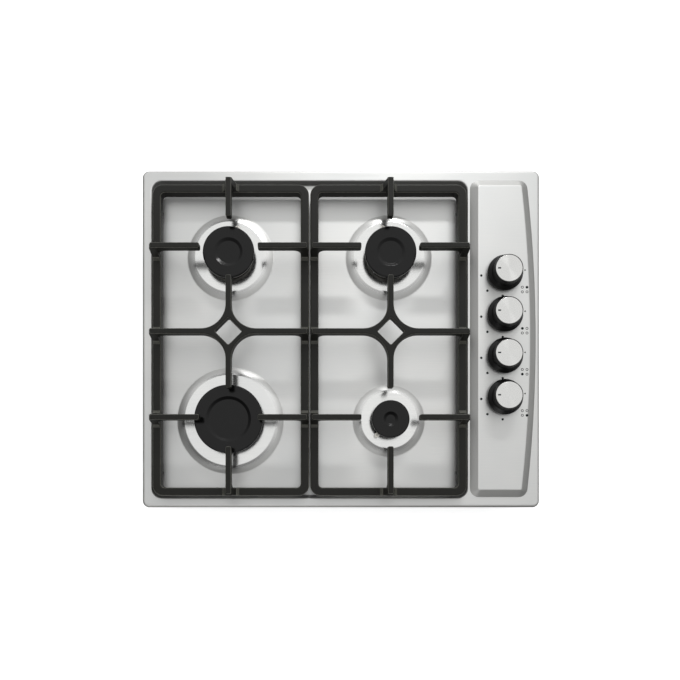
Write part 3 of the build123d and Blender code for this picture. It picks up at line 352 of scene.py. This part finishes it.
# Finishes that one grain is enough for
grained = {
    # vitreous enamel on pressed steel: deep black, satin, slightly orange-peeled
    "satin_black_enamel": {"dark": "#060606", "light": "#0A0A0A", "roughness": (0.13, 0.2),
                           "grainMm": 2.2, "blotchMm": 18.0, "reliefMm": 0.02, "shine": 0.25},
    # die-cast aluminium that has been hot: dull, grey, faintly brown
    "heat_greyed_cast_aluminium": {
        "dark": "#6E6C68", "light": "#8F8D88", "roughness": (0.42, 0.6),
        "grainMm": 0.9, "blotchMm": 9.0, "reliefMm": 0.03, "metallic": 0.9},
    "die_cast_aluminium": {"dark": "#A2A2A0", "light": "#B9B9B7", "roughness": (0.36, 0.5),
                           "grainMm": 0.9, "blotchMm": 14.0, "reliefMm": 0.03, "metallic": 1.0},
    "machined_brass": {"dark": "#B4924C", "light": "#CBA95F", "roughness": (0.22, 0.34),
                       "grainMm": 0.6, "blotchMm": 8.0, "reliefMm": 0.01, "metallic": 1.0},
    # alumina body with a clear glaze: bright, wet highlight
    "glazed_alumina": {"dark": "#E4E0D6", "light": "#F1EEE6", "roughness": (0.14, 0.22),
                       "grainMm": 0.8, "blotchMm": 6.0, "reliefMm": 0.006, "coat": 0.6,
                       "coatRoughness": 0.05},
    "drawn_steel_wire": {"dark": "#8C8B88", "light": "#A9A8A4", "roughness": (0.28, 0.42),
                         "grainMm": 0.5, "blotchMm": 5.0, "reliefMm": 0.01, "metallic": 1.0},
    # glass-filled nylon from a spark-eroded mould: black with a faint even texture
    "textured_black_nylon": {"dark": "#090909", "light": "#101010", "roughness": (0.30, 0.40),
                             "grainMm": 0.8, "blotchMm": 12.0, "reliefMm": 0.015, "shine": 0.3},
    "black_silicone_rubber": {"dark": "#131313", "light": "#1C1C1C", "roughness": (0.6, 0.75),
                              "grainMm": 0.7, "blotchMm": 9.0, "reliefMm": 0.02},
    "closed_cell_foam": {"dark": "#1A1A1A", "light": "#2A2A2A", "roughness": (0.85, 0.95),
                         "grainMm": 1.2, "blotchMm": 10.0, "reliefMm": 0.12},
    "bright_zinc_plate": {"dark": "#AFB2B4", "light": "#C9CCCD", "roughness": (0.2, 0.34),
                          "grainMm": 0.8, "blotchMm": 10.0, "reliefMm": 0.01, "metallic": 1.0},
    "drawn_aluminium_tube": {"dark": "#B5B6B6", "light": "#CACBCB", "roughness": (0.24, 0.36),
                             "grainMm": 0.9, "blotchMm": 20.0, "reliefMm": 0.01, "metallic": 1.0},
    "potted_black_abs": {"dark": "#141414", "light": "#1E1E1E", "roughness": (0.42, 0.55),
                         "grainMm": 0.8, "blotchMm": 15.0, "reliefMm": 0.02},
    "silicone_sleeving": {"dark": "#C9C4B8", "light": "#DAD6CB", "roughness": (0.45, 0.6),
                          "grainMm": 0.8, "blotchMm": 12.0, "reliefMm": 0.02},
    "ivory_nylon": {"dark": "#D6CFBB", "light": "#E3DDCB", "roughness": (0.38, 0.5),
                    "grainMm": 0.7, "blotchMm": 12.0, "reliefMm": 0.015},
    # epoxy ink screened on steel: flat black-green, slightly raised
    "screened_ink": {"dark": "#14181A", "light": "#1C2122", "roughness": (0.5, 0.6), "shine": 0.2,
                     "grainMm": 0.5, "blotchMm": 5.0, "reliefMm": 0.005},
}
materials = {name: grainedFinish(name, look) for name, look in grained.items()}
materials["plate"] = plateSteel(plateLook)
materials["iron"] = castIron(ironLook)
materials["tray"] = galvanised(trayLook)


# Gas inlet: the end of the rail carries a half-inch pipe thread, drawn as relief
threadLook = {"pitchMm": 1.814, "lengthMm": 14.0, "depthMm": 0.45}


def threadedZinc(look):
    made = grainedFinish("threaded_zinc_plate", grained["bright_zinc_plate"])
    tree = made.node_tree
    shader = next(node for node in tree.nodes if node.type == "BSDF_PRINCIPLED")
    grain = shader.inputs["Normal"].links[0].from_socket
    low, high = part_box("gas_rail")
    mouth = ((low.x + high.x) / 2, high.y, (low.z + high.z) / 2)
    own = addNode(tree, "ShaderNodeMapping", values={"Location": [-c for c in mouth]},
                  links={"Vector": objectPlace(tree)})
    part = addNode(tree, "ShaderNodeSeparateXYZ", links={"Vector": own.outputs["Vector"]})
    along = part.outputs["Y"]
    angle = addMath(tree, "ARCTAN2", part.outputs["Z"], part.outputs["X"])
    phase = addMath(tree, "MULTIPLY_ADD", along, math.tau / (look["pitchMm"] * mm), angle)
    cut = addMath(tree, "GREATER_THAN", along, -look["lengthMm"] * mm)
    ridge = addMath(tree, "MULTIPLY", addMath(tree, "SINE", phase), cut)
    thread = addRelief(tree, look["depthMm"], {"Height": ridge, "Normal": grain})
    linkShader(tree, shader, {"Normal": thread})
    return made


materials["threaded"] = threadedZinc(threadLook)
print("materials made")

# Starts of the CAD nodes' names
finishOf = {
    "hob_plate": "plate", "rim_seal": "closed_cell_foam",
    "pan_support": "iron", "support_feet": "black_silicone_rubber",
    "burner_cap": "satin_black_enamel", "flame_spreader": "heat_greyed_cast_aluminium",
    "burner_cup": "die_cast_aluminium", "injectors": "machined_brass",
    "electrode_insulators": "glazed_alumina", "electrode_pins": "drawn_steel_wire",
    "control_knob": "textured_black_nylon", "tap_spindle": "drawn_steel_wire",
    "tap_plug": "machined_brass", "tap_spring": "drawn_steel_wire",
    "spindle_grommets": "black_silicone_rubber", "tap_bodies": "machined_brass",
    "tap_bonnets": "die_cast_aluminium", "gas_rail": "threaded",
    "gas_tube": "drawn_aluminium_tube", "ignition_module": "potted_black_abs",
    "spark_leads": "silicone_sleeving", "switch_strip": "ivory_nylon", "base_tray": "tray",
    "tray_sides": "tray", "tray_ends": "tray", "clamp_brackets": "bright_zinc_plate",
    "fixing_screws": "bright_zinc_plate", "burner_screws": "bright_zinc_plate",
    "mains_inlet": "potted_black_abs", "fixing_clamp": "bright_zinc_plate",
}
for name, node in nodes.items():
    if name.startswith("knob_disc"):
        finish = spunDisc(name, discLook, *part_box(name))
    else:
        finish = materials[next(value for key, value in finishOf.items() if name.startswith(key))]
    node.data.materials.clear()
    node.data.materials.append(finish)
print("finishes on the CAD nodes")


def newObject(name, mesh):
    piece = bpy.data.objects.new(name, mesh)
    scene.collection.objects.link(piece)
    return piece


def meshObject(name, points, faces):
    # Points in mm
    mesh = bpy.data.meshes.new(name)
    mesh.from_pydata([tuple(c * mm for c in p) for p in points], [], faces)
    return newObject(name, mesh)


def newTree(name, inputs):
    tree = bpy.data.node_groups.new(name, "GeometryNodeTree")
    for label, kind in [("Geometry", "Geometry")] + inputs:
        tree.interface.new_socket(label, in_out="INPUT", socket_type="NodeSocket" + kind)
    tree.interface.new_socket("Geometry", in_out="OUTPUT", socket_type="NodeSocketGeometry")
    return tree, addNode(tree, "NodeGroupInput").outputs


def finishTree(tree, given, geometry):
    whole = addNode(tree, "GeometryNodeRealizeInstances", links={"Geometry": geometry})
    painted = addNode(tree, "GeometryNodeSetMaterial",
                      links={"Geometry": whole.outputs["Geometry"], "Material": given["Finish"]})
    addNode(tree, "NodeGroupOutput", links={"Geometry": painted.outputs["Geometry"]})
    return tree


def repeatTree():
    # One shape on each point, turned about Z by a random part of Turn
    tree, given = newTree("repeat_on_points", [
        ("Shape", "Object"), ("Turn", "Float"), ("Seed", "Int"), ("Finish", "Material")])
    shape = addNode(tree, "GeometryNodeObjectInfo", links={"Object": given["Shape"]})
    anyTurn = addNode(tree, "FunctionNodeRandomValue", {"data_type": "FLOAT"},
                      links={"Max": given["Turn"], "Seed": given["Seed"]})
    upright = addNode(tree, "ShaderNodeCombineXYZ", links={"Z": anyTurn.outputs[1]})
    placed = addNode(tree, "GeometryNodeInstanceOnPoints",
                     links={"Points": given["Geometry"], "Instance": shape.outputs["Geometry"],
                            "Rotation": upright.outputs[0]})
    return finishTree(tree, given, placed.outputs["Instances"])


def coilTree():
    # A closed coil of round wire that stands on each point
    tree, given = newTree("coil_on_points", [
        ("Turns", "Float"), ("Radius", "Float"), ("Height", "Float"), ("Wire", "Float"),
        ("Finish", "Material")])
    path = addNode(tree, "GeometryNodeCurveSpiral", values={"Resolution": 28},
                   links={"Rotations": given["Turns"], "Start Radius": given["Radius"],
                          "End Radius": given["Radius"], "Height": given["Height"]})
    wire = addNode(tree, "GeometryNodeCurvePrimitiveCircle", values={"Resolution": 10},
                   links={"Radius": given["Wire"]})
    swept = addNode(tree, "GeometryNodeCurveToMesh", values={"Fill Caps": True},
                    links={"Curve": path.outputs["Curve"], "Profile Curve": wire.outputs["Curve"]})
    placed = addNode(tree, "GeometryNodeInstanceOnPoints",
                     links={"Points": given["Geometry"], "Instance": swept.outputs["Mesh"]})
    return finishTree(tree, given, placed.outputs["Instances"])


def plainMesh(piece):
    # The mesh that a piece's modifiers give; the piece itself goes
    bpy.context.view_layer.update()
    graph = bpy.context.evaluated_depsgraph_get()
    mesh = bpy.data.meshes.new_from_object(piece.evaluated_get(graph))
    bpy.data.objects.remove(piece)
    return mesh


def built(name, tree, places, inputs):
    # Runs a tree on points in mm and keeps the plain mesh
    holder = meshObject(name + "_points", places, [])
    modifier = holder.modifiers.new("tree", "NODES")
    modifier.node_group = tree
    for item in tree.interface.items_tree:
        if item.in_out == "INPUT" and item.name in inputs:
            modifier[item.identifier] = inputs[item.name]
    return plainMesh(holder)


def onePiece(name, meshes, finish):
    whole = bmesh.new()
    for mesh in meshes:
        whole.from_mesh(mesh)
    bmesh.ops.recalc_face_normals(whole, faces=whole.faces)
    kept = bpy.data.meshes.new(name)
    whole.to_mesh(kept)
    whole.free()
    kept.materials.append(finish)
    kept.polygons.foreach_set("material_index", [0] * len(kept.polygons))
    return newObject(name, kept)


repeatShape = repeatTree()
coilShape = coilTree()

# Signs printed beside the knobs: plain dots, and a plan of the four burners as rings with the
# knob's own burner filled. Places are from the knob's centre. dotMm, faintDotMm and ringMm
# are radii.
signs = {
    "thickMm": 0.06,
    "dotMm": 1.8,
    "faintDotMm": 1.1,
    "dots": [(-33.4, -2.4), (-24.4, -24.7), (-1.9, -32.3)],
    "faintDots": [(31.0, 5.6)],
    "plan": (30.4, -23.0),
    "planPitchMm": 6.8,
    "ringMm": 2.0,
    "lineMm": 0.8,
    "sides": 24,
    "filled": {"rear_right": (1, 1), "rear_left": (-1, 1),
               "front_left": (-1, -1), "front_right": (1, -1)},
}


def ringPlate(outer, inner, thick, sides):
    # A thin closed disc, or a ring where inner is over 0
    turn = [(math.cos(i * math.tau / sides), math.sin(i * math.tau / sides)) for i in range(sides)]
    points = [(outer * c, outer * s, h) for h in (0, thick) for c, s in turn]
    faces = [[i, (i + 1) % sides, sides + (i + 1) % sides, sides + i] for i in range(sides)]
    if inner <= 0:
        return points, faces + [list(range(sides))[::-1], list(range(sides, 2 * sides))]
    base = 2 * sides
    points += [(inner * c, inner * s, h) for h in (0, thick) for c, s in turn]
    for i in range(sides):
        j = (i + 1) % sides
        faces.append([base + j, base + i, base + sides + i, base + sides + j])
        faces.append([i, base + i, base + j, j])
        faces.append([sides + j, base + sides + j, base + sides + i, sides + i])
    return points, faces


def printedSigns(values):
    spots = {"dot": [], "faintDot": [], "ring": [], "filledRing": []}
    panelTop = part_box("hob_plate")[1].z / mm
    half = values["planPitchMm"] / 2
    for name in corners:
        low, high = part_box("control_knob_" + name)
        x, y = (low.x + high.x) / 2 / mm, (low.y + high.y) / 2 / mm
        spots["dot"] += [(x + dx, y + dy, panelTop) for dx, dy in values["dots"]]
        spots["faintDot"] += [(x + dx, y + dy, panelTop) for dx, dy in values["faintDots"]]
        for side in (-1, 1):
            for row in (-1, 1):
                kind = "filledRing" if (side, row) == values["filled"][name] else "ring"
                spots[kind].append((x + values["plan"][0] + side * half,
                                    y + values["plan"][1] + row * half, panelTop))
    radii = {"dot": (values["dotMm"], 0), "faintDot": (values["faintDotMm"], 0),
             "ring": (values["ringMm"], values["ringMm"] - values["lineMm"]),
             "filledRing": (values["ringMm"], 0)}
    meshes = []
    for kind, places in spots.items():
        shape = meshObject(kind, *ringPlate(*radii[kind], values["thickMm"], values["sides"]))
        meshes.append(built(kind, repeatShape, places, {"Shape": shape}))
        bpy.data.objects.remove(shape)
    piece = onePiece("printed_signs", meshes, materials["screened_ink"])
    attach(piece, "hob")


printedSigns(signs)
print("signs printed")


# Screws: the CAD's plain cylinders get pan heads with a cross recess. Places, radii and
# lengths come from the CAD solids.
screwLook = {
    "kindsMm": {3.2: (1.6, 1.6), 4.0: (2.9, 2.0)},    # head radius: head height, shank radius
    # shares of the head's radius and height, from its edge to its top
    "headProfile": [(1.0, 0.45), (0.93, 0.72), (0.76, 0.92), (0.55, 1.0)],
    "pointShare": 0.7,         # the shank's end, as a share of its radius
    "pointMm": 0.5,
    "recessSpan": 0.6,         # shares of the head's radius
    "recessWidth": 0.16,
    "recessDepth": 0.55,       # share of the head's height
    "recessTaper": (0.5, 1.1),    # the cross at its floor and just above the head
    "recessOverMm": 0.3,
    "sides": 32,
    "seed": 7,
}


def solidBoxes(name):
    # Lowest and highest corner of each solid of a CAD node, in mm
    copy = bmesh.new()
    copy.from_mesh(nodes[name].data)
    bmesh.ops.remove_doubles(copy, verts=copy.verts, dist=0.001 * mm)
    copy.verts.ensure_lookup_table()
    seen, boxes = set(), []
    for start in copy.verts:
        if start in seen:
            continue
        seen.add(start)
        group = [start]
        for vert in group:
            for edge in vert.link_edges:
                other = edge.other_vert(vert)
                if other not in seen:
                    seen.add(other)
                    group.append(other)
        boxes.append([Vector([pick(v.co[i] for v in group) / mm for i in range(3)])
                      for pick in (min, max)])
    copy.free()
    return sorted(boxes, key=lambda box: tuple(round(c, 2) for c in box[0]))


def turned(name, profile, sides):
    # A closed solid round Z; the profile starts and ends on the axis
    points, faces, rings = [], [], []
    for r, z in profile:
        count = sides if r > 0 else 1
        rings.append(list(range(len(points), len(points) + count)))
        points += [(r * math.cos(i * math.tau / sides), r * math.sin(i * math.tau / sides), z)
                   for i in range(count)]
    for low, high in zip(rings, rings[1:]):
        for i in range(sides):
            j = (i + 1) % sides
            face = [low[i % len(low)], low[j % len(low)], high[j % len(high)], high[i % len(high)]]
            faces.append(list(dict.fromkeys(face)))
    return meshObject(name, points, faces)


def crossCutter(head, height, look):
    arm, slim = head * look["recessSpan"], head * look["recessWidth"]
    corner = [(arm, slim), (slim, slim), (slim, arm)]
    outline = [(x * c - y * s, x * s + y * c)
               for c, s in ((1, 0), (0, 1), (-1, 0), (0, -1)) for x, y in corner]
    count = len(outline)
    small, large = look["recessTaper"]
    floorZ, topZ = height * (1 - look["recessDepth"]), height + look["recessOverMm"]
    points = [(x * small, y * small, floorZ) for x, y in outline]
    points += [(x * large, y * large, topZ) for x, y in outline]
    faces = [list(range(count))[::-1], list(range(count, 2 * count))]
    for i in range(count):
        j = (i + 1) % count
        faces.append([i, j, count + j, count + i])
    return meshObject("cross", points, faces)


def crossScrew(head, height, shank, length, look):
    # Seat at z = 0, head upwards
    body = turned("pan_head", [
        (0, -length), (shank * look["pointShare"], -length), (shank, look["pointMm"] - length),
        (shank, 0), (head, 0), *[(head * r, height * z) for r, z in look["headProfile"]],
        (0, height)], look["sides"])
    cutter = crossCutter(head, height, look)
    modifier = body.modifiers.new("recess", "BOOLEAN")
    modifier.operation = "DIFFERENCE"
    modifier.object = cutter
    mesh = plainMesh(body)
    bpy.data.objects.remove(cutter)
    return mesh


def screwSet(node, headUp, look):
    kinds = {}
    for low, high in solidBoxes(node):
        head = round((high.x - low.x) / 2, 1)
        height = look["kindsMm"][head][0]
        seat = high.z - height if headUp else low.z + height
        kinds.setdefault((head, round(high.z - low.z - height, 2)), []).append(
            ((low.x + high.x) / 2, (low.y + high.y) / 2, seat))
    meshes = []
    for (head, length), places in kinds.items():
        height, shank = look["kindsMm"][head]
        mesh = crossScrew(head, height, shank, length, look)
        if not headUp:
            mesh.transform(Matrix.Rotation(math.pi, 4, "X"))
        shape = newObject(node + "_shape", mesh)
        meshes.append(built(node, repeatShape, places,
                            {"Shape": shape, "Turn": math.tau, "Seed": look["seed"]}))
        bpy.data.objects.remove(shape)
    piece = onePiece("cross_" + node, meshes, materials["bright_zinc_plate"])
    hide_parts(node)
    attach(piece, "hob")


screwSet("fixing_screws", False, screwLook)
screwSet("burner_screws", True, screwLook)
print("screws made")

# Return springs of the taps: a coil of drawn wire in the room of the CAD's sleeve, attached to the
# plug's body. The real spring closes up as the knob is pushed; this coil keeps its length
springLook = {
    "wireMm": 0.5,             # radius of the wire
    "turns": 5.0,
    "travelMm": 3.5,
}


def returnSpring(name, look):
    low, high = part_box("tap_spring_" + name)
    wire, tall = look["wireMm"] * mm, high.z - low.z
    middle = ((low.x + high.x) / 2, (low.y + high.y) / 2)
    foot = (middle[0] / mm, middle[1] / mm, low.z / mm + look["wireMm"])
    mesh = built("coil", coilShape, [foot], {
        "Turns": look["turns"], "Radius": (high.x - low.x) / 2 - wire,
        "Height": tall - 2 * wire, "Wire": wire})
    coil = onePiece("coil_spring_" + name, [mesh], materials["drawn_steel_wire"])
    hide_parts("tap_spring_" + name)
    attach(coil, "plug_" + name)
    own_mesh(coil)


for name in corners:
    returnSpring(name, springLook)
print("springs wound")

# Studio: a pale floor that glows, so it lights the sides from below. The sky is brightest
# overhead and towards the back and almost dark low down, so slopes that face the front go
# dark. A low narrow key at the back and a broad fill at the front add soft highlights.
studio = {
    "floor": "#F6F6F6",
    "floorGlow": 0.66,
    "floorRoughness": 0.9,
    "floorHalfM": 6,
    "floorDropMm": 0.2,        # just clear of the tray's underside
    "lean": (0.12, 0.56, 0.82),    # the way to the brightest part of the sky
    "skyStrength": 1.12,
    # how far a direction leans to the light, from -1 to 1, and the share of the strength
    "skySteps": [(-1.0, 0.02), (-0.3, 0.04), (0.05, 0.08), (0.25, 0.14), (0.45, 0.34),
                 (0.6, 0.6), (0.75, 0.9), (0.9, 1.0)],
    "backdrop": 0.9,           # what the camera itself sees behind the floor
    "aim": (0, 0, 0.05),
    "key": {"place": (0.35, 2.1, 1.1), "sizeM": (1.0, 0.13), "watts": 17.0},
    "fill": {"place": (-0.4, -1.9, 0.8), "sizeM": (1.6, 0.6), "watts": 9.0},
}


def studioFloor(look):
    half = look["floorHalfM"]
    mesh = bpy.data.meshes.new("studio_floor")
    mesh.from_pydata([(-half, -half, 0), (half, -half, 0), (half, half, 0), (-half, half, 0)],
                     [], [[0, 1, 2, 3]])
    floor = newObject("studio_floor", mesh)
    floor.location.z = -look["floorDropMm"] * mm
    finish, *_ = startMaterial("pale_floor", {
        "Base Color": linear(look["floor"]), "Roughness": look["floorRoughness"],
        "Emission Color": linear(look["floor"]), "Emission Strength": look["floorGlow"]})
    mesh.materials.append(finish)


def studioSky(look):
    world = bpy.data.worlds.new("studio")
    scene.world = world
    world.use_nodes = True
    sky = world.node_tree
    sky.nodes.clear()
    way = addNode(sky, "ShaderNodeTexCoord")
    lean = addNode(sky, "ShaderNodeVectorMath", {"operation": "DOT_PRODUCT"}, {1: look["lean"]},
                   {0: way.outputs["Generated"]})
    share = addRange(sky, lean.outputs["Value"], (0.0, 1.0), (-1.0, 1.0))
    stops = [((leaning + 1) / 2, amount) for leaning, amount in look["skySteps"]]
    steps = addRamp(sky, share, stops)
    glow = addNode(sky, "ShaderNodeBackground", values={"Strength": look["skyStrength"]},
                   links={"Color": steps})
    backdrop = addNode(sky, "ShaderNodeBackground", values={"Strength": look["backdrop"]})
    ray = addNode(sky, "ShaderNodeLightPath")
    seen = addNode(sky, "ShaderNodeMixShader", links={
        0: ray.outputs["Is Camera Ray"], 1: glow.outputs[0], 2: backdrop.outputs[0]})
    addNode(sky, "ShaderNodeOutputWorld", links={"Surface": seen.outputs[0]})


def areaLight(name, look, aim):
    data = bpy.data.lights.new(name, "AREA")
    data.energy = look["watts"]
    data.shape = "RECTANGLE"
    data.size, data.size_y = look["sizeM"]
    lamp = newObject(name, data)
    lamp.location = look["place"]
    towards = Vector(aim) - Vector(look["place"])
    lamp.rotation_euler = towards.to_track_quat("-Z", "Y").to_euler()


studioFloor(studio)
studioSky(studio)
areaLight("key_softbox", studio["key"], studio["aim"])
areaLight("front_fill", studio["fill"], studio["aim"])
scene.view_settings.view_transform = "Standard"
print("studio lit")

# Camera: straight above the plate's front left part, the frame shifted to the right and back
cameraLook = {
    "place": (-0.0459, -0.2241, 0.814),
    "lensMm": 27.15,
    "sensorMm": 36.0,
    "shift": (0.0441, 0.2206),
}
cameraData = bpy.data.cameras.new("camera")
cameraData.lens = cameraLook["lensMm"]
cameraData.sensor_width = cameraLook["sensorMm"]
cameraData.shift_x, cameraData.shift_y = cameraLook["shift"]
camera = newObject("camera", cameraData)
camera.location = cameraLook["place"]
scene.camera = camera
print("camera set")
